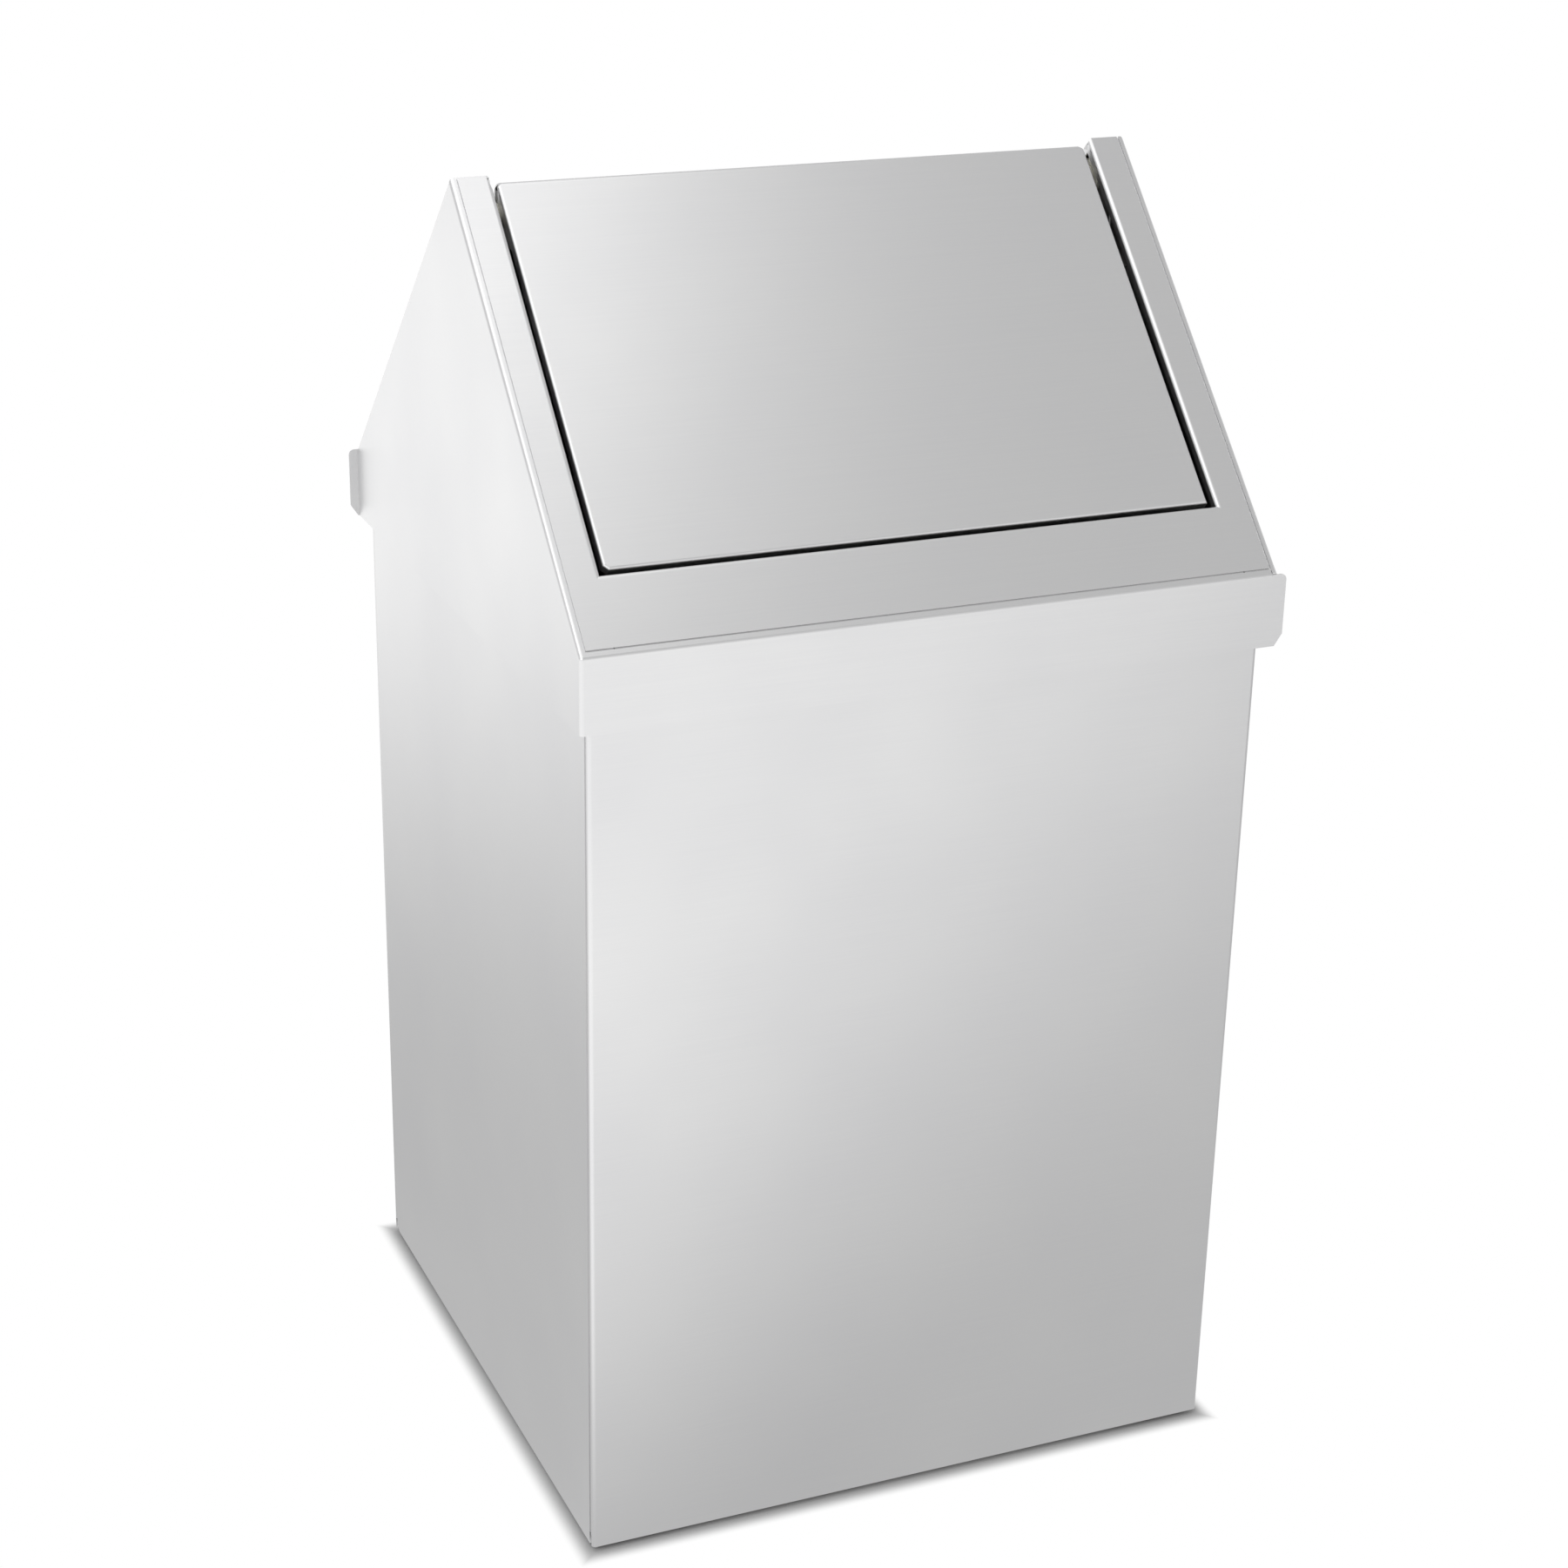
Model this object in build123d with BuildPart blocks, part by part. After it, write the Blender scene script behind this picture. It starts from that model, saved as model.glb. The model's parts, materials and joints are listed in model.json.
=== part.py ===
from build123d import *
import math
import os

os.makedirs("parts", exist_ok=True)

# Swing-lid waste bin of folded stainless sheet, in millimetres.
# X runs along the front, the front faces -Y, Z is up and the origin is on the ground under the centre.

# Body
body_width = 340.0
body_depth = 340.0
body_height = 456.0
floor_gap = 3.0  # the panels end this far above the ground
sheet = 0.8
bend = 2.0  # outside radius of a fold
seam_land = 2.6  # what shows of an end panel beyond its fold, on the side of the body
joggle_run = 1.2  # length over which the return steps in by one sheet
seam_gap = 0.6  # groove left between the step and the side panel
panel_return = 20.0
return_notch = 6.0  # the returns stop this far above the bottom edge
corner_clip = 4.0

# Base pan, rim frame and feet
pan_height = 16.0
pan_lift = 1.0  # the pan's flanges end this far above the panels' bottom edge
rim_width = 12.0
rim_leg = 14.0
tray_corner = 3.0
foot_inset = 34.0  # from the outside of the body to a foot's centre
foot_side = 28.0
foot_clip = 6.0  # the corners of a foot are clipped this much
rivet_shank = 2.0
rivet_head = 4.4
rivet_head_height = 1.2
rivet_upset = 3.2
rivet_recess = 5.5
recess_depth = 11.0
rivet_play = 0.05

# Hood
hood_clearance = 4.5  # room for the bag between the body and the skirt
hood_lap = 26.0  # how far the skirt reaches down over the body
skirt_height = 36.0
pitch = 45.0
edge_flange = 17.0  # width of the gable's flange under the roof plates
flange_split = 0.4  # slit between the flanges of the two wraps
roof_land = 3.0  # what shows of a fold beside a roof plate, before its flange steps down
roof_gap = 0.8  # groove between that step and the roof plate
eave_fold = 12.0
lap_end = 4.5  # the skirt's free end laps past the other gable
lap_round = 3.0
lap_clip_width = 4.0
lap_clip_height = 6.0
hem_height = 6.0

# Roof plates
strip_width = 19.7  # from the gable's outside to the window
border = 39.5  # from the eave to the window, along the slope
window_return = 5.0  # depth of the window's folded edge below the roof plane
window_relief = 1.5  # the window's folded edges stop this far before the ridge
strip_clip_width = 2.0
strip_clip_height = 6.0

# Ledge rails inside the hood
rail_end_gap = 24.5  # from the end of a rail to the inside of the hood
rail_width = 18.0
rail_leg = 8.0
rest_gap = 0.3

# Flap and its axle
flap_side_gap = 3.0
flap_end_gap = 2.8
flap_sink = 1.8  # the flap's outside lies this far below the roof plane
flap_return = 5.0
flap_bend = 3.0
flap_edge = 1.5  # outside radius of the folds along the flap's edges
flap_relief = 3.0  # the flap's folded sides are notched this far from the ridge
flap_clip = 2.5
flap_ridge_round = 3.0
gusset_thickness = 1.5
gusset_drop = 12.0
gusset_top = 4.0
pivot_drop = 19.0  # from the ridge of the roof plane down to the axle
axle_radius = 4.0
axle_end_gap = 5.5
axle_chamfer = 0.6
snug = 0.02
running = 0.05

# Bearing brackets, bushes, spacers, clips and stop buffers
bracket_thickness = 1.5
bracket_stand = 3.0  # from the window's edge to the bracket's web
bracket_half = 20.0
bracket_foot = 12.0
bracket_drop = 42.0
bracket_roof_gap = 1.7
bush_radius = 6.0
bush_length = 7.0
bush_flange = 9.0
bush_flange_thickness = 1.5
spacer_radius = 6.0
side_play = 0.3
clip_side = 16.0
clip_corner = 3.0
clip_thickness = 1.2
clip_gap = 0.5
buffer_radius = 4.0
buffer_reach = 29.0  # from the axle down to a buffer
buffer_length = 14.0
buffer_neck = 2.4
buffer_barb = 3.6
buffer_barb_length = 2.0

tiny = 0.001  # tolerance by which edges are picked by their place

# Derived places
half_width = body_width / 2
half_depth = body_depth / 2
panel_top = floor_gap + body_height
pan_bottom = floor_gap + pan_lift
pan_top = pan_bottom + pan_height
tray_half_x = half_width - 2 * sheet
tray_half_y = half_depth - sheet
seam_start = seam_land + joggle_run + seam_gap

hood_x = half_width + hood_clearance + sheet
hood_y = half_depth + hood_clearance + sheet
skirt_bottom = panel_top - hood_lap
eave_z = skirt_bottom + skirt_height
sin_p = math.sin(math.radians(pitch))
cos_p = math.cos(math.radians(pitch))
tan_p = math.tan(math.radians(pitch))
apex_z = eave_z + hood_y * tan_p
slope_length = hood_y / cos_p
window_half = hood_x - strip_width
window_end = slope_length - border
pivot_z = apex_z - pivot_drop
flap_half = window_half - flap_side_gap
flap_end = window_end - flap_end_gap
gusset_outer = flap_half - sheet
web_x = window_half + bracket_stand
gable_inner = hood_x - sheet
axle_half = gable_inner - axle_end_gap
plate_reveal = roof_land + roof_gap
rail_half = gable_inner - rail_end_gap


def roof_z(y, depth=0.0):
    """Height at y of the plane of the plates' outsides, or of a plane sunk below it by depth."""
    return apex_z - abs(y) * tan_p - depth / cos_p


def roof_point(run, depth):
    """Place (y, z) on the front slope, run down from the ridge and depth below the roof plane."""
    return (-run * cos_p + depth * sin_p, apex_z - run * sin_p - depth * cos_p)


def slope_band(run_start, run_end, depth_out, depth_in):
    """Four corners of a strip that lies along the front slope."""
    return [
        roof_point(run_start, depth_out),
        roof_point(run_end, depth_out),
        roof_point(run_end, depth_in),
        roof_point(run_start, depth_in),
    ]


def house(front, rear, bottom, depth=0.0):
    """Corners of the gable outline, with its roof sunk by depth."""
    return [
        (-front, bottom),
        (-front, roof_z(front, depth)),
        (0, roof_z(0, depth)),
        (rear, roof_z(rear, depth)),
        (rear, bottom),
    ]


def roof_band(front, rear, depth_out, depth_in):
    """Six corners of a layer that lies along both slopes."""
    return [
        (-front, roof_z(front, depth_out)),
        (0, roof_z(0, depth_out)),
        (rear, roof_z(rear, depth_out)),
        (rear, roof_z(rear, depth_in)),
        (0, roof_z(0, depth_in)),
        (-front, roof_z(front, depth_in)),
    ]


def axle_plane(x):
    """Upright plane across the axle at x, with its origin on the axle's centre line."""
    return Plane(origin=(x, 0, pivot_z), x_dir=(0, 1, 0), z_dir=(1, 0, 0))


def write(piece, name, turn=0.0):
    """Turn a finished piece about the upright centre line, name it and write it."""
    placed = piece.rotate(Axis.Z, turn)
    placed.label = name
    export_step(placed, f"parts/{name}.step")


# Front and rear panels of the body, each with a joggled return behind the side panels
with BuildPart() as end_panel:
    with BuildSketch(Plane.XY.offset(floor_gap)) as end_profile:
        with BuildLine():
            Polyline(
                (0, -half_depth),
                (half_width, -half_depth),
                (half_width, -half_depth + seam_land),
                (half_width - sheet, -half_depth + seam_land + joggle_run),
                (half_width - sheet, -half_depth + panel_return),
                (half_width - 2 * sheet, -half_depth + panel_return),
                (half_width - 2 * sheet, -half_depth + seam_land + joggle_run),
                (half_width - sheet, -half_depth + seam_land),
                (half_width - sheet, -half_depth + sheet),
                (0, -half_depth + sheet),
                close=True,
            )
        make_face()
        mirror(about=Plane.YZ)
        for side in (-1, 1):
            outer = (side * half_width, -half_depth, 0)
            inner = (side * (half_width - sheet), -half_depth + sheet, 0)
            fillet(end_profile.vertices().sort_by_distance(outer)[0], radius=bend)
            fillet(end_profile.vertices().sort_by_distance(inner)[0], radius=bend - sheet)
    extrude(amount=body_height)
    with BuildSketch(Plane.XY.offset(floor_gap)):
        with Locations((0, -half_depth + bend)):
            Rectangle(body_width, panel_return, align=(Align.CENTER, Align.MIN))
    extrude(amount=return_notch, mode=Mode.SUBTRACT)
write(end_panel.part, "body_front_panel")
write(end_panel.part, "body_rear_panel", 180)

# Left and right panels, flat sheets lapped over the returns
with BuildPart() as side_panel:
    with BuildSketch(Plane.YZ.offset(half_width - sheet)) as side_outline:
        with Locations((0, floor_gap)):
            Rectangle(body_depth - 2 * seam_start, body_height, align=(Align.CENTER, Align.MIN))
        front_corner = (-half_depth + seam_start, floor_gap, 0)
        chamfer(side_outline.vertices().sort_by_distance(front_corner)[0], length=corner_clip)
    extrude(amount=sheet)
write(side_panel.part, "body_right_panel")
write(side_panel.part, "body_left_panel", 180)

# Base pan, a plate with its flanges turned down between the panels
foot_x = half_width - foot_inset
foot_y = half_depth - foot_inset
with BuildPart() as base_pan:
    with BuildSketch(Plane.XY.offset(pan_bottom)):
        RectangleRounded(2 * tray_half_x, 2 * tray_half_y, tray_corner)
    extrude(amount=pan_height)
    with BuildSketch(Plane.XY.offset(pan_bottom)):
        RectangleRounded(2 * (tray_half_x - sheet), 2 * (tray_half_y - sheet), tray_corner - sheet)
    extrude(amount=pan_height - sheet, mode=Mode.SUBTRACT)
    with BuildSketch(Plane.XY.offset(pan_bottom)):
        with GridLocations(2 * foot_x, 2 * foot_y, 2, 2):
            Circle(rivet_shank + rivet_play)
    extrude(amount=pan_height, mode=Mode.SUBTRACT)
write(base_pan.part, "base_pan")

# Rim frame, an angle section that stiffens the mouth and carries the hood
with BuildPart() as rim_frame:
    with BuildSketch(Plane.XY.offset(panel_top)):
        RectangleRounded(2 * tray_half_x, 2 * tray_half_y, tray_corner)
        RectangleRounded(
            2 * (tray_half_x - rim_width),
            2 * (tray_half_y - rim_width),
            tray_corner,
            mode=Mode.SUBTRACT,
        )
    extrude(amount=-sheet)
    with BuildSketch(Plane.XY.offset(panel_top)):
        RectangleRounded(2 * tray_half_x, 2 * tray_half_y, tray_corner)
        RectangleRounded(
            2 * (tray_half_x - sheet),
            2 * (tray_half_y - sheet),
            tray_corner - sheet,
            mode=Mode.SUBTRACT,
        )
    extrude(amount=-rim_leg)
write(rim_frame.part, "rim_frame")

# Rubber feet under the pan, with a recess for the rivet's head
foot_height = pan_top - sheet
foot_places = {
    "front_left": (-foot_x, -foot_y),
    "front_right": (foot_x, -foot_y),
    "rear_left": (-foot_x, foot_y),
    "rear_right": (foot_x, foot_y),
}
for place, (x, y) in foot_places.items():
    with BuildPart() as foot:
        with BuildSketch(Plane(origin=(x, y, 0))) as foot_outline:
            Rectangle(foot_side, foot_side)
            chamfer(foot_outline.vertices(), length=foot_clip)
        extrude(amount=foot_height)
        with BuildSketch(Plane(origin=(x, y, 0))):
            Circle(rivet_recess)
        extrude(amount=recess_depth, mode=Mode.SUBTRACT)
        with BuildSketch(Plane(origin=(x, y, recess_depth))):
            Circle(rivet_shank + rivet_play)
        extrude(amount=foot_height - recess_depth, mode=Mode.SUBTRACT)
    write(foot.part, f"foot_{place}")

# Blind rivets that hold the feet
with BuildPart() as foot_rivets:
    with BuildSketch(Plane.XY.offset(recess_depth)):
        with GridLocations(2 * foot_x, 2 * foot_y, 2, 2):
            Circle(rivet_head)
    extrude(amount=-rivet_head_height)
    with BuildSketch(Plane.XY.offset(recess_depth)):
        with GridLocations(2 * foot_x, 2 * foot_y, 2, 2):
            Circle(rivet_shank)
    extrude(amount=pan_top - recess_depth)
    with BuildSketch(Plane.XY.offset(pan_top)):
        with GridLocations(2 * foot_x, 2 * foot_y, 2, 2):
            Circle(rivet_upset)
    extrude(amount=rivet_head_height)
write(foot_rivets.part, "foot_rivets")

# Hood wrap: a gable and one skirt in a single sheet, folded at the corner, along the roof and at the eave.
# Beyond each roof fold the sheet steps down, so that the roof plates lie flush beside a narrow groove.
# The same piece turned half round makes the other gable and the other skirt.
flange_z = 2 * sheet  # depth of the flanges' underside below the roof plane
step_x = roof_land - sheet
wrap_rear = hood_y - sheet
eave_half = hood_x - edge_flange - flange_split
land_end = hood_x - roof_land - flange_split
with BuildPart() as hood_wrap:
    with BuildSketch(Plane.YZ.offset(-hood_x)):
        Polygon(*house(hood_y, wrap_rear, skirt_bottom), align=None)
    extrude(amount=sheet)
    with BuildSketch(Plane.YZ.offset(-hood_x)):
        Polygon(*roof_band(hood_y, wrap_rear, 0, sheet), align=None)
    extrude(amount=roof_land)
    with BuildSketch(Plane.YZ.offset(-hood_x + step_x)):
        Polygon(*roof_band(hood_y, wrap_rear, 0, flange_z), align=None)
    extrude(amount=sheet)
    with BuildSketch(Plane.YZ.offset(-hood_x + step_x)):
        Polygon(*roof_band(hood_y, wrap_rear, sheet, flange_z), align=None)
    extrude(amount=edge_flange - step_x)
    with BuildSketch(Plane.YZ.offset(-hood_x)):
        Polygon(
            (wrap_rear, skirt_bottom),
            (wrap_rear, roof_z(wrap_rear, sheet)),
            (wrap_rear - sheet, roof_z(wrap_rear - sheet, sheet)),
            (wrap_rear - sheet, skirt_bottom),
            align=None,
        )
    extrude(amount=edge_flange)
    with BuildSketch(Plane.YZ.offset(-hood_x)):
        Polygon(
            (-hood_y, skirt_bottom),
            (-hood_y, roof_z(hood_y)),
            roof_point(slope_length - roof_land, 0),
            roof_point(slope_length - roof_land, sheet),
            (sheet - hood_y, roof_z(hood_y - sheet, sheet)),
            (sheet - hood_y, skirt_bottom),
            align=None,
        )
    extrude(amount=hood_x + land_end)
    with BuildSketch(Plane.YZ.offset(-eave_half)):
        Polygon(*slope_band(slope_length - roof_land, slope_length - step_x, 0, flange_z), align=None)
        Polygon(*slope_band(slope_length - eave_fold, slope_length - step_x, sheet, flange_z), align=None)
    extrude(amount=2 * eave_half)
    gable_edges = hood_wrap.edges().filter_by(
        lambda e: all(abs(v.X + hood_x) < tiny for v in e.vertices())
    )
    roof_edges = gable_edges.filter_by(lambda e: e.center().Z > eave_z + sheet)
    corner_edge = gable_edges.filter_by(Axis.Z).sort_by(Axis.Y)[0]
    eave_edge = hood_wrap.edges().filter_by(
        lambda e: all(abs(v.Y + hood_y) < tiny and abs(v.Z - eave_z) < tiny for v in e.vertices())
    )
    fillet([*roof_edges, corner_edge, *eave_edge], radius=bend)
    with BuildSketch(Plane.XZ.offset(hood_y)) as skirt_end:
        with Locations((land_end, skirt_bottom)):
            Rectangle(hood_x + lap_end - land_end, skirt_height, align=(Align.MIN, Align.MIN))
        lap_top = (hood_x + lap_end, eave_z, 0)
        fillet(skirt_end.vertices().sort_by_distance(lap_top)[0], radius=lap_round)
        with Locations((hood_x + lap_end, skirt_bottom)):
            Polygon((0, 0), (-lap_clip_width, 0), (0, lap_clip_height), align=None, mode=Mode.SUBTRACT)
    extrude(amount=-sheet)
    with BuildSketch(Plane.XY.offset(skirt_bottom)):
        with Locations((-gable_inner, 0)):
            Rectangle(sheet, 2 * (hood_y - edge_flange), align=(Align.MIN, Align.CENTER))
        with Locations((0, -hood_y + sheet)):
            Rectangle(2 * eave_half, sheet, align=(Align.CENTER, Align.MIN))
    extrude(amount=hem_height)
write(hood_wrap.part, "hood_left_gable")
write(hood_wrap.part, "hood_right_gable", 180)

# Roof plate with its window, folded in along the window's edges
front_slope = Plane(origin=(0, 0, apex_z), x_dir=(1, 0, 0), z_dir=(0, -sin_p, cos_p))
with BuildPart() as roof_plate:
    with BuildSketch(front_slope):
        with Locations((0, plate_reveal - slope_length)):
            Rectangle(2 * (hood_x - plate_reveal), slope_length, align=(Align.CENTER, Align.MIN))
    extrude(amount=-sheet)
    with BuildSketch(front_slope):
        with Locations((0, -window_end - sheet)):
            Rectangle(
                2 * (window_half + sheet),
                window_end + sheet - window_relief,
                align=(Align.CENTER, Align.MIN),
            )
    extrude(amount=-window_return)
    with BuildSketch(front_slope):
        with Locations((0, -window_end)):
            Rectangle(2 * window_half, slope_length, align=(Align.CENTER, Align.MIN))
    extrude(amount=-window_return, mode=Mode.SUBTRACT)
    top_edges = roof_plate.edges().filter_by(
        lambda e: abs(front_slope.to_local_coords(e.center()).Z) < tiny
    )
    side_edges = top_edges.filter_by(
        lambda e: abs(abs(front_slope.to_local_coords(e.center()).X) - window_half) < tiny
    )
    end_edge = top_edges.filter_by(
        lambda e: abs(front_slope.to_local_coords(e.center()).Y + window_end) < tiny
    )
    fillet(side_edges + end_edge, radius=bend)
    with BuildSketch(Plane.XZ):
        with Locations((-window_half, apex_z)):
            Polygon((0, 0), (0, -strip_clip_height), (-strip_clip_width, 0), align=None)
    extrude(amount=strip_clip_height, mode=Mode.SUBTRACT)
    split(bisect_by=Plane.XZ, keep=Keep.TOP)
write(roof_plate.part, "hood_front_plate")
write(roof_plate.part, "hood_rear_plate", 180)


def ledge_rail(reach):
    """Angle strip whose leg lies on the skirt, reach from the centre, and whose ledge rests on the rim."""
    ledge_z = panel_top + rest_gap
    with BuildPart() as rail:
        with BuildSketch(Plane.YZ.offset(-rail_half)):
            with Locations((-reach, ledge_z)):
                Rectangle(rail_width, sheet, align=(Align.MIN, Align.MIN))
                Rectangle(sheet, rail_leg, align=(Align.MIN, Align.MIN))
        extrude(amount=2 * rail_half)
    return rail.part


# Ledge rails on the four sides of the hood
write(ledge_rail(hood_y - sheet), "hood_front_rail")
write(ledge_rail(hood_x - sheet), "hood_right_rail", 90)
write(ledge_rail(hood_y - sheet), "hood_rear_rail", 180)
write(ledge_rail(hood_x - sheet), "hood_left_rail", 270)

# Bearing bracket on the inside of a gable, a hat section whose top follows the roof
with BuildPart() as bracket:
    with BuildSketch(Plane.XY.offset(pivot_z - bracket_drop)):
        foot_x_inner = gable_inner - bracket_thickness
        wall = bracket_half - bracket_thickness
        Polygon(
            (gable_inner, -bracket_half - bracket_foot),
            (foot_x_inner, -bracket_half - bracket_foot),
            (foot_x_inner, -bracket_half),
            (web_x, -bracket_half),
            (web_x, bracket_half),
            (foot_x_inner, bracket_half),
            (foot_x_inner, bracket_half + bracket_foot),
            (gable_inner, bracket_half + bracket_foot),
            (gable_inner, wall),
            (web_x + bracket_thickness, wall),
            (web_x + bracket_thickness, -wall),
            (gable_inner, -wall),
            align=None,
        )
    extrude(amount=bracket_drop + pivot_drop)
    with BuildSketch(Plane.YZ.offset(web_x)):
        Polygon(
            *house(hood_y, hood_y, skirt_bottom, flange_z + bracket_roof_gap),
            align=None,
        )
    extrude(amount=gable_inner - web_x, mode=Mode.INTERSECT)
    with BuildSketch(axle_plane(web_x)):
        Circle(bush_radius)
        with Locations((0, -buffer_reach)):
            Circle(buffer_neck + snug)
    extrude(amount=bracket_thickness, mode=Mode.SUBTRACT)
    web_edges = bracket.edges().filter_by(Axis.Z).group_by(Axis.X)[0]
    fillet(web_edges, radius=bracket_thickness)
write(bracket.part, "bearing_bracket_right")
write(bracket.part, "bearing_bracket_left", 180)

# Flanged bush in the bracket
with BuildPart() as bush:
    with BuildSketch(axle_plane(web_x)):
        Circle(bush_flange)
    extrude(amount=-bush_flange_thickness)
    with BuildSketch(axle_plane(web_x)):
        Circle(bush_radius - snug)
    extrude(amount=bush_length)
    with BuildSketch(axle_plane(web_x - bush_flange_thickness)):
        Circle(axle_radius + running)
    extrude(amount=bush_length + bush_flange_thickness, mode=Mode.SUBTRACT)
write(bush.part, "axle_bush_right")
write(bush.part, "axle_bush_left", 180)

# Rubber buffer that stops the flap's leg, pushed into the bracket's web
with BuildPart() as buffer:
    with BuildSketch(axle_plane(web_x)):
        with Locations((0, -buffer_reach)):
            Circle(buffer_radius)
    extrude(amount=-buffer_length)
    with BuildSketch(axle_plane(web_x)):
        with Locations((0, -buffer_reach)):
            Circle(buffer_neck)
    extrude(amount=bracket_thickness)
    with BuildSketch(axle_plane(web_x + bracket_thickness)):
        with Locations((0, -buffer_reach)):
            Circle(buffer_barb)
    extrude(amount=buffer_barb_length)
write(buffer.part, "stop_buffer_right")
write(buffer.part, "stop_buffer_left", 180)

def pitched_block(half_length, end, depth_out, depth_in, ridge_radius, clip):
    """Block with the flap's outline, rounded along the ridge and clipped at two opposite corners."""
    with BuildPart() as block:
        with BuildSketch(Plane.YZ.offset(-half_length)) as profile:
            Polygon(
                roof_point(end, depth_out),
                (0, roof_z(0, depth_out)),
                (0, roof_z(0, depth_in)),
                roof_point(end, depth_in),
                align=None,
            )
            mirror(about=Plane.YZ)
            ridge = (0, roof_z(0, depth_out), 0)
            fillet(profile.vertices().sort_by_distance(ridge)[0], radius=ridge_radius)
        extrude(amount=2 * half_length)
        ends = block.faces().filter_by(Axis.X)
        corners = ends.edges().filter_by(
            lambda e: abs(e.length - (depth_in - depth_out)) < tiny and e.center().X * e.center().Y > 0
        )
        chamfer(corners, length=clip)
    return block.part


def on_flap_rim(point):
    """True for a place on the rim of the flap's outside."""
    depth = (roof_z(point.Y) - point.Z) * cos_p
    run = (apex_z - point.Z) / sin_p
    at_side = abs(point.X) > flap_half - flap_clip
    at_end = run > flap_end - flap_clip
    return depth < flap_sink + flap_bend * (1 - cos_p) + tiny and (at_side or at_end)


# Flap, a sheet folded along the ridge with shallow returns on all its edges
flap_inside = flap_sink + sheet
core_end = flap_end - sheet
core_clip = flap_clip - (2 - math.sqrt(2)) * sheet
relief_half = flap_relief * cos_p
relief_depth = flap_inside + (flap_bend - sheet) * (1 - cos_p)
ridge_top = roof_z(0, flap_sink) - flap_bend * (1 / cos_p - 1)
with BuildPart() as flap_sheet:
    add(pitched_block(flap_half, flap_end, flap_sink, flap_sink + flap_return, flap_bend, flap_clip))
    fillet(flap_sheet.edges().filter_by(lambda e: on_flap_rim(e.center())), radius=flap_edge)
    add(
        pitched_block(
            gusset_outer, core_end, flap_inside, flap_inside + flap_return, flap_bend - sheet, core_clip
        ),
        mode=Mode.SUBTRACT,
    )
    with BuildSketch(Plane.YZ.offset(-flap_half)):
        Polygon(
            *roof_band(relief_half, relief_half, relief_depth, flap_inside + flap_return),
            align=None,
        )
    extrude(amount=2 * flap_half, mode=Mode.SUBTRACT)
    with BuildSketch(Plane.XZ):
        for side in (-1, 1):
            with Locations((side * flap_half, ridge_top)):
                Rectangle(2 * flap_ridge_round, 2 * flap_ridge_round)
            with Locations((side * (flap_half - flap_ridge_round), ridge_top - flap_ridge_round)):
                Circle(flap_ridge_round, mode=Mode.SUBTRACT)
    extrude(amount=2 * flap_bend, both=True, mode=Mode.SUBTRACT)
write(flap_sheet.part, "flap_sheet")

# Gusset plate that ties the flap's two legs to the axle
with BuildPart() as gusset:
    with BuildSketch(Plane.YZ.offset(gusset_outer)):
        gusset_bottom = pivot_z - gusset_drop
        gusset_half = (roof_z(0, flap_inside) - gusset_bottom) / tan_p
        Polygon(
            (-gusset_half, gusset_bottom),
            (-gusset_top, roof_z(gusset_top, flap_inside)),
            (gusset_top, roof_z(gusset_top, flap_inside)),
            (gusset_half, gusset_bottom),
            align=None,
        )
        with Locations((0, pivot_z)):
            Circle(axle_radius + snug, mode=Mode.SUBTRACT)
    extrude(amount=-gusset_thickness)
write(gusset.part, "flap_gusset_right")
write(gusset.part, "flap_gusset_left", 180)

# Axle rod through both gussets
with BuildPart() as axle:
    with BuildSketch(axle_plane(-axle_half)):
        Circle(axle_radius)
    extrude(amount=2 * axle_half)
    chamfer(axle.edges().filter_by(GeomType.CIRCLE), length=axle_chamfer)
write(axle.part, "flap_axle")

# Spacer between a gusset and the bush's flange
with BuildPart() as spacer:
    with BuildSketch(axle_plane(gusset_outer)):
        Circle(spacer_radius)
        Circle(axle_radius + snug, mode=Mode.SUBTRACT)
    extrude(amount=web_x - bush_flange_thickness - side_play - gusset_outer)
write(spacer.part, "axle_spacer_right")
write(spacer.part, "axle_spacer_left", 180)

# Push-on clip that keeps the axle in its bush, a square of spring steel with clipped corners
with BuildPart() as clip:
    with BuildSketch(axle_plane(web_x + bush_length + clip_gap)) as clip_outline:
        Rectangle(clip_side, clip_side)
        chamfer(clip_outline.vertices(), length=clip_corner)
        Circle(axle_radius + snug, mode=Mode.SUBTRACT)
    extrude(amount=clip_thickness)
write(clip.part, "axle_clip_right")
write(clip.part, "axle_clip_left", 180)
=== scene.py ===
"""Looks of a square swing-lid bin of folded stainless sheet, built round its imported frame.

Lengths are millimetres in the classes below and metres in the meshes. X runs along the front,
the front faces -Y, Z is up and the origin is on the floor under the centre of the bin.
"""

import json
import logging
import math
from collections.abc import Sequence
from dataclasses import dataclass, field
from enum import Enum
from typing import Any

import bmesh
import bpy
from mathutils import Matrix, Vector


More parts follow.
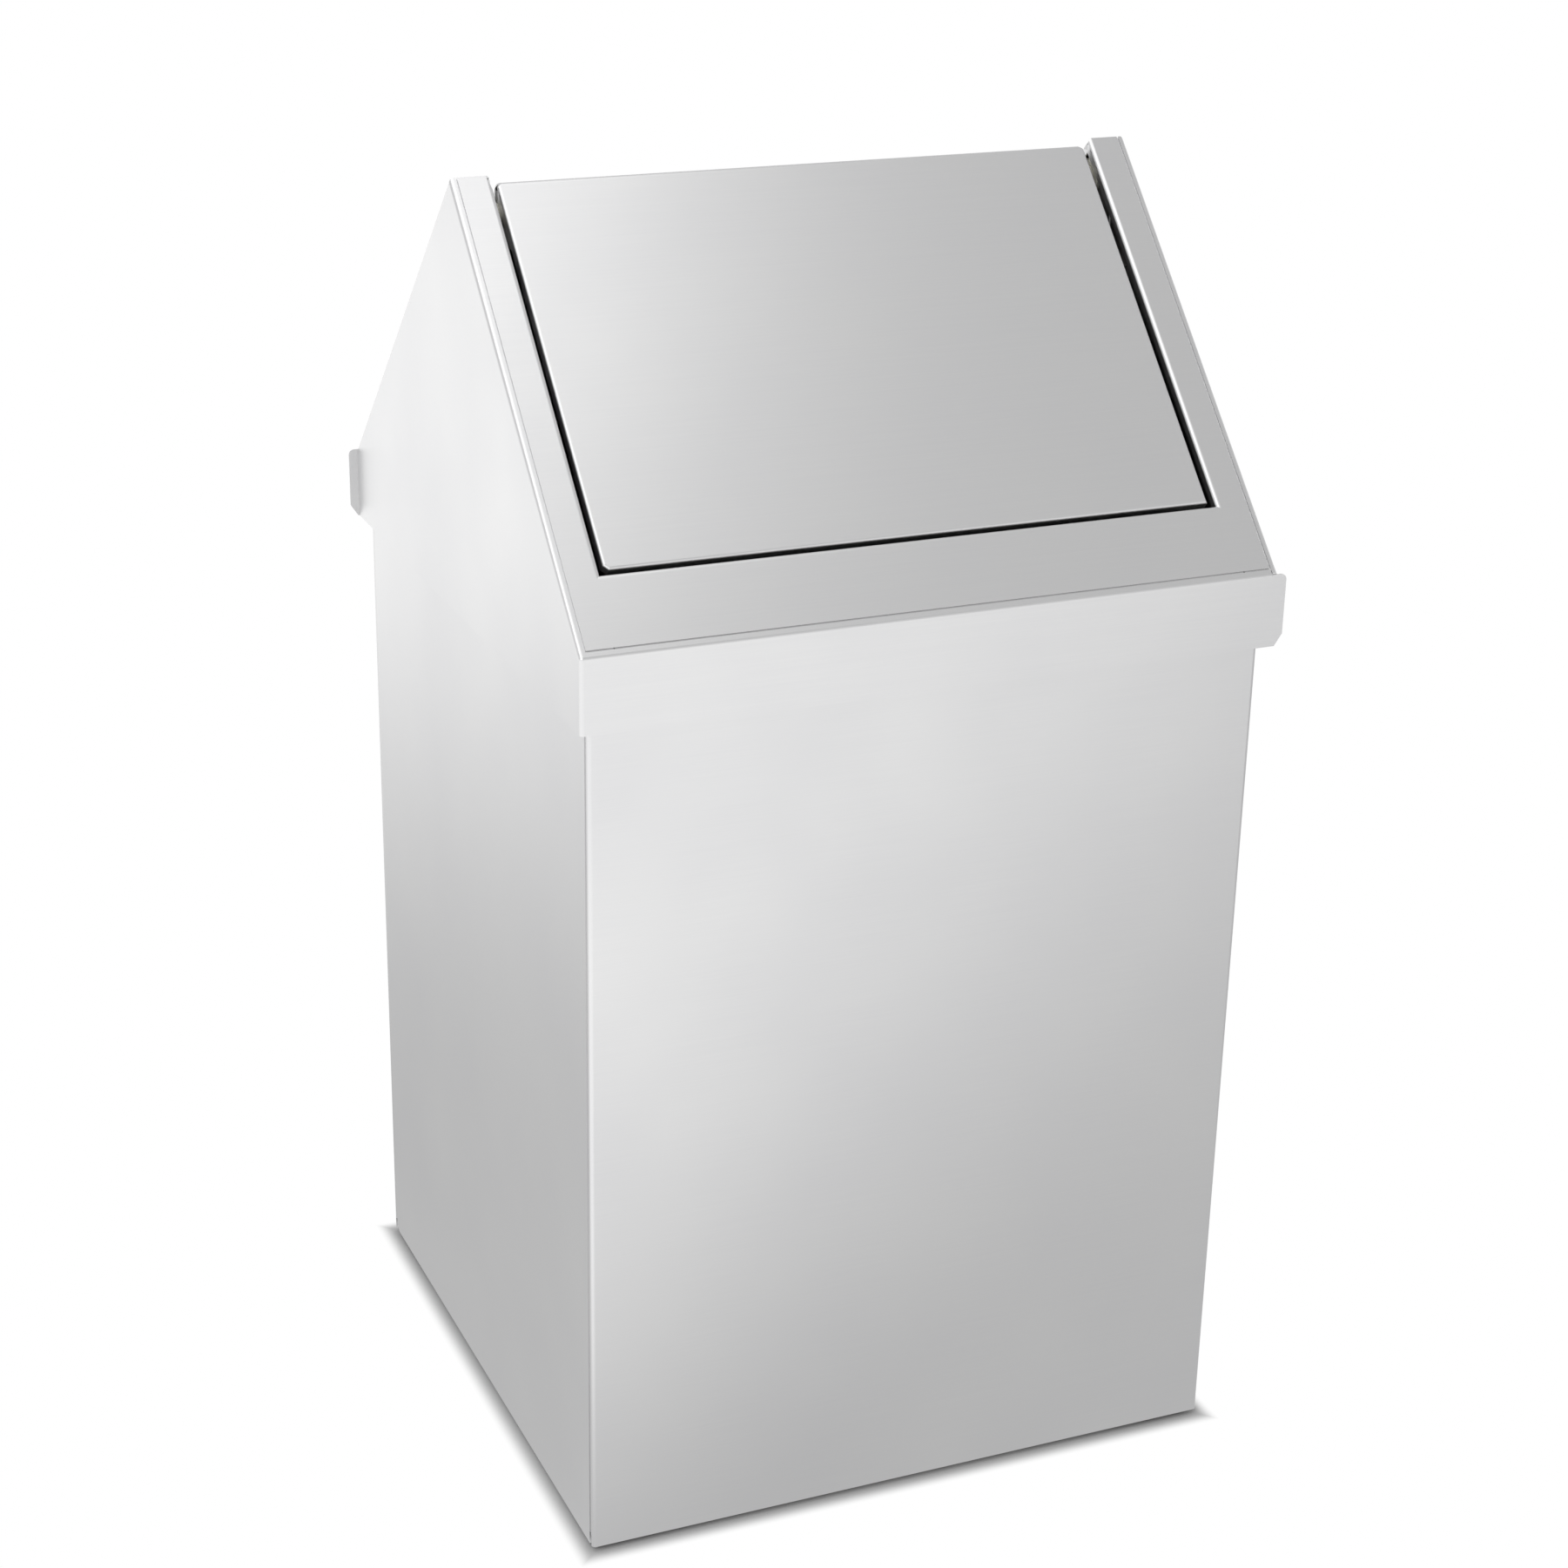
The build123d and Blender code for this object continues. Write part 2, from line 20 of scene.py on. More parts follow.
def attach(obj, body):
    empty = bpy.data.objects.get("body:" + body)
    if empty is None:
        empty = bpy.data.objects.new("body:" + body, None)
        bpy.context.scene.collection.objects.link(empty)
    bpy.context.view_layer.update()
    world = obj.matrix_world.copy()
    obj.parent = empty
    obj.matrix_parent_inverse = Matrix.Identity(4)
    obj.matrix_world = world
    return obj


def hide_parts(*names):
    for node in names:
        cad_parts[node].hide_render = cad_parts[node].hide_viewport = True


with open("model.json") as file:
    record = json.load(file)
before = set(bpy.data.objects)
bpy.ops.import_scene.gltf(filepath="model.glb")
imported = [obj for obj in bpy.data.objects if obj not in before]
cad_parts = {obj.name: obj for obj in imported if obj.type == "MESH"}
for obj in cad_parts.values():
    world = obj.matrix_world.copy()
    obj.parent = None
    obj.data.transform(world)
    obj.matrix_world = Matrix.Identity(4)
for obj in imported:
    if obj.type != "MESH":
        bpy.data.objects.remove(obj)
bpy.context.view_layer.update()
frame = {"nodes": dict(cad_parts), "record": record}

MM = 0.001
log = logging.getLogger("bin")


class Body(Enum):
    """The three bodies that move on their own."""

    BODY = "body"
    HOOD = "hood"
    FLAP = "flap"


class Side(Enum):
    """Left and right, as the sign of X."""

    LEFT = -1
    RIGHT = 1


# Helpers


def linear(code: str) -> tuple[float, float, float, float]:
    """Turn an sRGB colour into a linear one.

    Args:
        code: The colour as six hex digits.

    Returns:
        Red, green, blue and alpha, each from 0 to 1.
    """
    channels = []
    for start in (0, 2, 4):
        value = int(code[start : start + 2], 16) / 255
        channels.append(value / 12.92 if value <= 0.04045 else ((value + 0.055) / 1.055) ** 2.4)
    return (*channels, 1.0)


def add_node(
    tree: bpy.types.NodeTree,
    kind: str,
    inputs: dict[str | int, Any] | None = None,
    **settings: Any,
) -> bpy.types.Node:
    """Add one node to a tree with its settings, values and links.

    Args:
        tree: The node tree of a material or of the world.
        kind: Type of the node, without its ShaderNode prefix.
        inputs: For each input, by name or by place, a value or the output socket that feeds it.
        **settings: Properties of the node itself.

    Returns:
        The new node.
    """
    node = tree.nodes.new(f"ShaderNode{kind}")
    for name, value in settings.items():
        setattr(node, name, value)
    for key, value in (inputs or {}).items():
        if isinstance(value, bpy.types.NodeSocket):
            tree.links.new(value, node.inputs[key])
        else:
            node.inputs[key].default_value = value
    return node


def set_ramp(node: bpy.types.Node, stops: Sequence[tuple[float, tuple[float, ...]]]) -> None:
    """Give a colour ramp its stops.

    Args:
        node: A Color Ramp node with its two default stops.
        stops: Place and colour of each stop, in order.
    """
    elements = node.color_ramp.elements
    while len(elements) < len(stops):
        elements.new(1.0)
    for element, (place, colour) in zip(elements, stops):
        element.position = place
        element.color = colour


def finish_mesh(shape: bmesh.types.BMesh, name: str, place: Matrix) -> bpy.types.Object:
    """Move a finished shape into place, in its mesh, and make its object.

    Args:
        shape: The shape about its own origin, in metres.
        name: Name of the new piece.
        place: Where the shape goes.

    Returns:
        The new object, at the origin.
    """
    bmesh.ops.remove_doubles(shape, verts=shape.verts, dist=1e-7)
    bmesh.ops.transform(shape, matrix=place, verts=shape.verts)
    bmesh.ops.recalc_face_normals(shape, faces=shape.faces)
    mesh = bpy.data.meshes.new(name)
    shape.to_mesh(mesh)
    shape.free()
    for face in mesh.polygons:
        face.use_smooth = True
    mesh.set_sharp_from_angle(angle=math.radians(32))
    piece = bpy.data.objects.new(name, mesh)
    bpy.context.scene.collection.objects.link(piece)
    return piece


def lathe(profile: Sequence[tuple[float, float]], steps: int = 48) -> bmesh.types.BMesh:
    """Spin a profile into a closed round shape.

    Args:
        profile: Radius and height of each corner in millimetres. It starts and ends on the axis, or
            comes back to its first corner.
        steps: Number of faces round the shape.

    Returns:
        The shape about the Z axis, in metres.
    """
    shape = bmesh.new()
    corners = [shape.verts.new((radius * MM, 0, height * MM)) for radius, height in profile]
    closed = profile[0][0] > 0
    ends = corners[1:] + corners[:1] if closed else corners[1:]
    edges = [shape.edges.new(pair) for pair in zip(corners, ends)]
    bmesh.ops.spin(
        shape,
        geom=[*corners, *edges],
        cent=(0, 0, 0),
        axis=(0, 0, 1),
        dvec=(0, 0, 0),
        angle=math.tau,
        steps=steps,
        use_merge=True,
        use_duplicate=False,
    )
    bmesh.ops.remove_doubles(shape, verts=shape.verts, dist=1e-7)
    return shape


def rounded_square(
    shape: bmesh.types.BMesh, side: float, corner: float, segments: int = 5
) -> list[bmesh.types.BMEdge]:
    """Draw a square outline with rounded corners at height 0.

    Args:
        shape: An empty shape that takes the outline.
        side: Length of a side in millimetres.
        corner: How far the rounding reaches along each side, in millimetres.
        segments: Number of edges in each corner.

    Returns:
        The edges of the outline.
    """
    made = bmesh.ops.create_circle(
        shape, cap_ends=True, cap_tris=False, segments=4, radius=side / math.sqrt(2) * MM
    )
    bmesh.ops.rotate(shape, verts=made["verts"], matrix=Matrix.Rotation(math.pi / 4, 3, "Z"))
    bmesh.ops.bevel(
        shape,
        geom=made["verts"],
        offset=corner * MM,
        offset_type="OFFSET",
        affect="VERTICES",
        segments=segments,
        profile=0.5,
        material=-1,
    )
    bmesh.ops.delete(shape, geom=shape.faces[:], context="FACES_ONLY")
    return shape.edges[:]


def draw_ring(
    shape: bmesh.types.BMesh, radius: float, height: float = 0.0, segments: int = 24
) -> list[bmesh.types.BMEdge]:
    """Draw a circle round the Z axis.

    Args:
        shape: The shape that takes the circle.
        radius: Its radius in millimetres.
        height: Its height in millimetres.
        segments: Number of its edges.

    Returns:
        The edges of the circle.
    """
    made = bmesh.ops.create_circle(shape, cap_ends=False, segments=segments, radius=radius * MM)
    bmesh.ops.translate(shape, verts=made["verts"], vec=(0, 0, height * MM))
    return list({edge for corner in made["verts"] for edge in corner.link_edges})


def grow(
    shape: bmesh.types.BMesh, loop: list[bmesh.types.BMEdge], height: float, scale: float = 1.0
) -> list[bmesh.types.BMEdge]:
    """Pull a wall out of a loop of edges.

    Args:
        shape: The shape that holds the loop.
        loop: The edges that the wall starts from.
        height: How far up the wall goes, in millimetres.
        scale: Size of its far end against its near end.

    Returns:
        The edges of the far end.
    """
    made = bmesh.ops.extrude_edge_only(shape, edges=loop)["geom"]
    corners = {item for item in made if isinstance(item, bmesh.types.BMVert)}
    bmesh.ops.scale(shape, verts=list(corners), vec=(scale, scale, 1))
    bmesh.ops.translate(shape, verts=list(corners), vec=(0, 0, height * MM))
    return [
        item
        for item in made
        if isinstance(item, bmesh.types.BMEdge) and corners.issuperset(item.verts)
    ]


def soften(
    shape: bmesh.types.BMesh, edges: list[bmesh.types.BMEdge], width: float, segments: int = 3
) -> None:
    """Round some edges of a shape.

    Args:
        shape: The shape that holds the edges.
        edges: The edges to round.
        width: Width of the rounding in millimetres.
        segments: Number of faces across the rounding.
    """
    bmesh.ops.bevel(
        shape,
        geom=edges,
        offset=width * MM,
        offset_type="OFFSET",
        affect="EDGES",
        segments=segments,
        profile=0.5,
        material=-1,
    )


def along_x(x: float, y: float, z: float, side: Side) -> Matrix:
    """Place for a round shape that lies along X and points away from the middle.

    Args:
        x: Distance of its base from the middle, in millimetres.
        y: Where its axis lies along Y.
        z: The same along Z.
        side: The side of the bin that it goes on.

    Returns:
        The matrix in metres.
    """
    return Matrix.Translation(Vector((side.value * x, y, z)) * MM) @ Matrix.Rotation(
        side.value * math.pi / 2, 4, "Y"
    )


# Finishes


@dataclass(frozen=True)
class Finish:
    """What every finish shares: a name, a colour in two shades and a roughness."""

    name: str
    light: str
    dark: str
    roughness: float

    def start(
        self,
    ) -> tuple[bpy.types.Material, bpy.types.NodeTree, bpy.types.Node, bpy.types.Node]:
        """Make the material with its shader and its coordinates.

        Returns:
            The material, its tree, its shader and its Texture Coordinate node.
        """
        material = bpy.data.materials.new(self.name)
        material.use_nodes = True
        tree = material.node_tree
        shader = tree.nodes["Principled BSDF"]
        coordinates = add_node(tree, "TexCoord")
        return material, tree, shader, coordinates


@dataclass(frozen=True)
class SatinSheet(Finish):
    """Stainless sheet, satin polished with a fine belt and left bare.

    The belt leaves straight hair lines, which spread a reflection into a soft sheen. Handling and
    wiping leave broad, faint patches that are a little duller than the rest.
    """

    grain_width: float = 0.5  # the real lines are about 0.05 mm wide, too fine to show
    grain_length: float = 70.0
    patch: float = 90.0
    grain_depth: float = 0.002
    grain_detail: float = 3.0
    grain_roughness: float = 0.6
    patch_detail: float = 2.0
    patch_roughness: float = 0.45
    patch_share: float = 0.6  # weight of the patches against the grain
    relief: float = 0.1
    low: float = 0.3  # nearly all of the noise lies between these two
    high: float = 0.7
    unevenness: float = 0.02  # how far the roughness strays from its middle

    def make(self) -> bpy.types.Material:
        """Build the material."""
        material, tree, shader, coordinates = self.start()
        across, along = 1 / (self.grain_width * MM), 1 / (self.grain_length * MM)
        stretched = add_node(
            tree,
            "Mapping",
            {"Vector": coordinates.outputs["Object"], "Scale": (along, across, across)},
        )
        grain = add_node(
            tree,
            "TexNoise",
            {
                "Vector": stretched.outputs["Vector"],
                "Scale": 1.0,
                "Detail": self.grain_detail,
                "Roughness": self.grain_roughness,
            },
        )
        patches = add_node(
            tree,
            "TexNoise",
            {
                "Vector": coordinates.outputs["Object"],
                "Scale": 1 / (self.patch * MM),
                "Detail": self.patch_detail,
                "Roughness": self.patch_roughness,
            },
        )
        both = add_node(
            tree,
            "Mix",
            {
                "Factor": self.patch_share,
                "A": grain.outputs["Fac"],
                "B": patches.outputs["Fac"],
            },
            data_type="FLOAT",
        )
        tone = add_node(tree, "ValToRGB", {"Fac": both.outputs["Result"]})
        set_ramp(tone, [(self.low, linear(self.dark)), (self.high, linear(self.light))])
        tree.links.new(tone.outputs["Color"], shader.inputs["Base Color"])
        rough = add_node(
            tree,
            "MapRange",
            {
                "Value": both.outputs["Result"],
                "From Min": self.low,
                "From Max": self.high,
                "To Min": self.roughness + self.unevenness,
                "To Max": self.roughness - self.unevenness,
            },
        )
        tree.links.new(rough.outputs["Result"], shader.inputs["Roughness"])
        lines = add_node(
            tree,
            "Bump",
            {
                "Strength": self.relief,
                "Distance": self.grain_depth * MM,
                "Height": grain.outputs["Fac"],
            },
        )
        tree.links.new(lines.outputs["Normal"], shader.inputs["Normal"])
        shader.inputs["Metallic"].default_value = 1.0
        return material


@dataclass(frozen=True)
class Moulded(Finish):
    """Moulded rubber or nylon with the fine, even pits of its mould."""

    pit: float = 0.6  # real pits are about 0.1 mm wide, too fine to show
    pit_depth: float = 0.02
    pit_detail: float = 2.0
    relief: float = 0.3
    low: float = 0.3
    high: float = 0.7
    tone_margin: float = 0.05
    unevenness: float = 0.06

    def make(self) -> bpy.types.Material:
        """Build the material."""
        material, tree, shader, coordinates = self.start()
        pits = add_node(
            tree,
            "TexNoise",
            {
                "Vector": coordinates.outputs["Object"],
                "Scale": 1 / (self.pit * MM),
                "Detail": self.pit_detail,
            },
        )
        tone = add_node(tree, "ValToRGB", {"Fac": pits.outputs["Fac"]})
        set_ramp(
            tone,
            [
                (self.low + self.tone_margin, linear(self.dark)),
                (self.high - self.tone_margin, linear(self.light)),
            ],
        )
        tree.links.new(tone.outputs["Color"], shader.inputs["Base Color"])
        rough = add_node(
            tree,
            "MapRange",
            {
                "Value": pits.outputs["Fac"],
                "From Min": self.low,
                "From Max": self.high,
                "To Min": self.roughness + self.unevenness,
                "To Max": self.roughness - self.unevenness,
            },
        )
        tree.links.new(rough.outputs["Result"], shader.inputs["Roughness"])
        relief = add_node(
            tree,
            "Bump",
            {
                "Strength": self.relief,
                "Distance": self.pit_depth * MM,
                "Height": pits.outputs["Fac"],
            },
        )
        tree.links.new(relief.outputs["Normal"], shader.inputs["Normal"])
        return material


class Slot(Enum):
    """Material slots of the record, with the finish of each."""

    SATIN_SHEET = "satin_sheet"
    PLAIN_SHEET = "plain_sheet"
    AXLE_STEEL = "axle_steel"
    SPRING_STEEL = "spring_steel"
    RIVET = "rivet"
    NYLON = "nylon"
    FOOT_RUBBER = "foot_rubber"
    BUFFER_RUBBER = "buffer_rubber"


FINISHES = {
    # Bare satin stainless: an even, soft grey sheen that takes on the light of the room
    Slot.SATIN_SHEET: SatinSheet("satin_polished_stainless_sheet", "D2D2D2", "CDCDCE", 0.36),
    # Stainless as it leaves the mill: duller and a little darker, on parts inside
    Slot.PLAIN_SHEET: SatinSheet("mill_rolled_stainless_sheet", "B9B9B8", "AFAFAE", 0.42),
    # Drawn rod: the smoothest metal here, with a narrow, bright highlight
    Slot.AXLE_STEEL: SatinSheet("drawn_stainless_rod", "C4C4C2", "B0B0AE", 0.24),
    # Hardened and oiled: dark grey with a soft gleam
    Slot.SPRING_STEEL: SatinSheet("oiled_spring_steel", "5E5E60", "48484A", 0.38),
    # Tumbled aluminium: pale and slightly blue, with no grain to see
    Slot.RIVET: SatinSheet("tumbled_aluminium", "D2D3D5", "BEC0C2", 0.4),
    # Natural nylon: milky, warm white with a waxy gloss
    Slot.NYLON: Moulded("moulded_natural_nylon", "E2E0D6", "D6D3C7", 0.42),
    # Black rubber: matt, nearly without highlight
    Slot.FOOT_RUBBER: Moulded("moulded_black_rubber", "2A2A2A", "1C1C1C", 0.62),
    # Softer, greyer rubber
    Slot.BUFFER_RUBBER: Moulded("moulded_grey_rubber", "38383A", "29292B", 0.58),
}


# The bin


@dataclass
class Assembly:
    """One body of the bin: its nodes, what is built finer in their place, and its finishes."""

    body: Body
    finishes: dict[Slot, bpy.types.Material]
    made: list[bpy.types.Object] = field(default_factory=list)

    def dress_nodes(self) -> None:
        """Give each node of this body the material of its slot."""
        slots = {part["node"]: Slot(part["material_slot"]) for part in frame["record"]["subparts"]}
        for name in frame["record"]["behaviour"]["bodies"][self.body.value]:
            node = frame["nodes"][name]
            node.data.materials.clear()
            node.data.materials.append(self.finishes[slots[name]])

    def keep(self, piece: bpy.types.Object, slot: Slot, *nodes: str) -> None:
        """Dress a new piece and let it ride on this body.

        Args:
            piece: The new piece.
            slot: The slot that its finish comes from.
            *nodes: The nodes that it stands for.
        """
        piece.data.materials.append(self.finishes[slot])
        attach(piece, self.body.value)
        if nodes:
            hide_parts(*nodes)
        self.made.append(piece)

    def report(self) -> None:
        """Log what was built for this body."""
        for piece in self.made:
            log.info("%s: %s, %d faces", self.body.value, piece.name, len(piece.data.polygons))


@dataclass
class Shell(Assembly):
    """The body of the bin, with its feet."""

    foot_place: float = 136.0  # from the middle of the bin, along X and along Y
    foot_side: float = 28.0
    foot_corner: float = 6.0
    foot_height: float = 19.2
    foot_edge: float = 1.6
    recess_radius: float = 5.5
    recess_depth: float = 11.0
    hole_radius: float = 2.05
    rivet: tuple[tuple[float, float], ...] = (
        (0.0, 10.5),  # pit that the snapped pin leaves
        (0.95, 10.5),
        (1.05, 9.84),
        (2.4, 9.92),
        (3.5, 10.25),
        (4.2, 10.72),
        (4.4, 11.0),
        (2.0, 11.0),
        (2.0, 20.0),
        (3.2, 20.0),  # the upset end, inside the bin
        (3.1, 20.5),
        (2.5, 21.0),
        (1.4, 21.2),
        (0.0, 21.2),
    )

    def places(self) -> dict[str, Vector]:
        """Give the middle of each foot by its node."""
        rows, columns = {"front": -1, "rear": 1}, {"left": -1, "right": 1}
        return {
            f"foot_{row}_{column}": Vector((x, y, 0)) * self.foot_place * MM
            for row, y in rows.items()
            for column, x in columns.items()
        }

    def foot(self) -> bmesh.types.BMesh:
        """Mould a square rubber foot with rounded edges and a recess for its rivet.

        Returns:
            The foot about the Z axis, standing on height 0.
        """
        shape = bmesh.new()
        outline = rounded_square(shape, self.foot_side, self.foot_corner)
        mouth = draw_ring(shape, self.recess_radius)
        bmesh.ops.bridge_loops(shape, edges=outline + mouth)
        seat = grow(shape, mouth, self.recess_depth)
        hole = grow(shape, seat, 0, self.hole_radius / self.recess_radius)
        through = grow(shape, hole, self.foot_height - self.recess_depth)
        top = grow(shape, outline, self.foot_height)
        bmesh.ops.bridge_loops(shape, edges=top + through)
        soften(shape, outline + mouth + top, self.foot_edge)
        return shape

    def rivets(self) -> bmesh.types.BMesh:
        """Turn one blind rivet and repeat it at each foot.

        Returns:
            The four rivets in place.
        """
        shape = lathe(self.rivet, 32)
        first = shape.verts[:] + shape.edges[:] + shape.faces[:]
        middle, *others = self.places().values()
        for place in others:
            copy = bmesh.ops.duplicate(shape, geom=first)["geom"]
            corners = [item for item in copy if isinstance(item, bmesh.types.BMVert)]
            bmesh.ops.translate(shape, verts=corners, vec=place)
        corners = [item for item in first if isinstance(item, bmesh.types.BMVert)]
        bmesh.ops.translate(shape, verts=corners, vec=middle)
        return shape

    def build(self) -> None:
        """Build the feet and their rivets, and dress the rest."""
        self.dress_nodes()
        for node, place in self.places().items():
            piece = finish_mesh(self.foot(), f"moulded_{node}", Matrix.Translation(place))
            self.keep(piece, Slot.FOOT_RUBBER, node)
        piece = finish_mesh(self.rivets(), "domed_foot_rivets", Matrix())
        self.keep(piece, Slot.RIVET, "foot_rivets")


@dataclass
class Hood(Assembly):
    """The pitched hood, with the bearings and stops of its flap."""

    axle_height: float = 625.3
    bracket: float = 158.6  # inner face of a bracket's web, from the middle
    bush: tuple[tuple[float, float], ...] = (
        (4.45, -1.5),
        (8.6, -1.5),
        (8.9, -1.35),
        (9.0, -1.1),
        (9.0, -0.25),
        (8.75, 0.0),
        (5.98, 0.0),
        (5.98, 6.4),
        (5.75, 6.85),
        (5.4, 7.0),
        (4.4, 7.0),
        (4.05, 6.7),
        (4.05, -1.1),
    )
    buffer_height: float = 596.3
    buffer_length: float = 14.0
    buffer: tuple[tuple[float, float], ...] = (
        (0.0, 0.0),
        (2.2, 0.0),
        (3.2, 0.25),
        (3.8, 0.9),
        (4.0, 1.8),
        (4.0, 4.6),  # two grooves let the end of the buffer give a little
        (3.6, 5.0),
        (3.6, 5.8),
        (4.0, 6.2),
        (4.0, 9.2),
        (3.6, 9.6),
        (3.6, 10.4),
        (4.0, 10.8),
        (4.0, 13.7),
        (3.7, 14.0),
        (2.4, 14.0),
        (2.4, 15.5),
        (3.6, 15.5),  # the barb behind the bracket
        (3.6, 16.0),
        (2.7, 17.2),
        (2.2, 17.5),
        (0.0, 17.5),
    )

    def build(self) -> None:
        """Build the bushes and buffers of both sides, and dress the rest."""
        self.dress_nodes()
        for side in Side:
            name = side.name.lower()
            place = along_x(self.bracket, 0, self.axle_height, side)
            piece = finish_mesh(lathe(self.bush), f"flanged_bush_{name}", place)
            self.keep(piece, Slot.NYLON, f"axle_bush_{name}")
            place = along_x(self.bracket - self.buffer_length, 0, self.buffer_height, side)
            piece = finish_mesh(lathe(self.buffer), f"grooved_buffer_{name}", place)
            self.keep(piece, Slot.BUFFER_RUBBER, f"stop_buffer_{name}")


@dataclass
class Flap(Assembly):
    """The flap with its axle."""

    axle_height: float = 625.3
    gusset: float = 151.8  # outer face of a gusset, from the middle
    spacer: tuple[tuple[float, float], ...] = (
        (4.3, 0.0),
        (5.5, 0.0),
        (5.85, 0.15),
        (6.0, 0.5),
        (6.0, 4.5),
        (5.85, 4.85),
        (5.5, 5.0),
        (4.3, 5.0),
        (4.02, 4.7),
        (4.02, 0.3),
    )
    clip_place: float = 166.1
    clip_side: float = 16.0
    clip_corner: float = 3.0
    clip_sheet: float = 0.5
    clip_rise: float = 0.7  # the middle is dished, so that it bites the axle
    dish_radius: float = 6.2
    bore_radius: float = 4.02

    def clip(self) -> bmesh.types.BMesh:
        """Press a square push-on clip with a dished middle.

        Returns:
            The clip about the Z axis, with its rim at height 0.
        """
        shape = bmesh.new()
        outline = rounded_square(shape, self.clip_side, self.clip_corner)
        under = draw_ring(shape, self.dish_radius)
        bmesh.ops.bridge_loops(shape, edges=outline + under)
        bite = grow(shape, under, self.clip_rise, self.bore_radius / self.dish_radius)
        lip = grow(shape, bite, self.clip_sheet)
        over = grow(shape, lip, -self.clip_rise, self.dish_radius / self.bore_radius)
        top = grow(shape, outline, self.clip_sheet)
        bmesh.ops.bridge_loops(shape, edges=top + over)
        soften(shape, outline + top, self.clip_sheet / 4, 2)
        return shape

    def build(self) -> None:
        """Build the spacers and clips of both sides, and dress the rest."""
        self.dress_nodes()
        for side in Side:
            name = side.name.lower()
            place = along_x(self.gusset, 0, self.axle_height, side)
            piece = finish_mesh(lathe(self.spacer), f"rounded_spacer_{name}", place)
            self.keep(piece, Slot.NYLON, f"axle_spacer_{name}")
            place = along_x(self.clip_place, 0, self.axle_height, side)
            piece = finish_mesh(self.clip(), f"dished_clip_{name}", place)
            self.keep(piece, Slot.SPRING_STEEL, f"axle_clip_{name}")


# The studio


@dataclass(frozen=True)
class SoftBox:
    """A square soft box: its name, place and side in metres, and its power in watts."""

    name: str
    place: tuple[float, float, float]
    size: float
    power: float


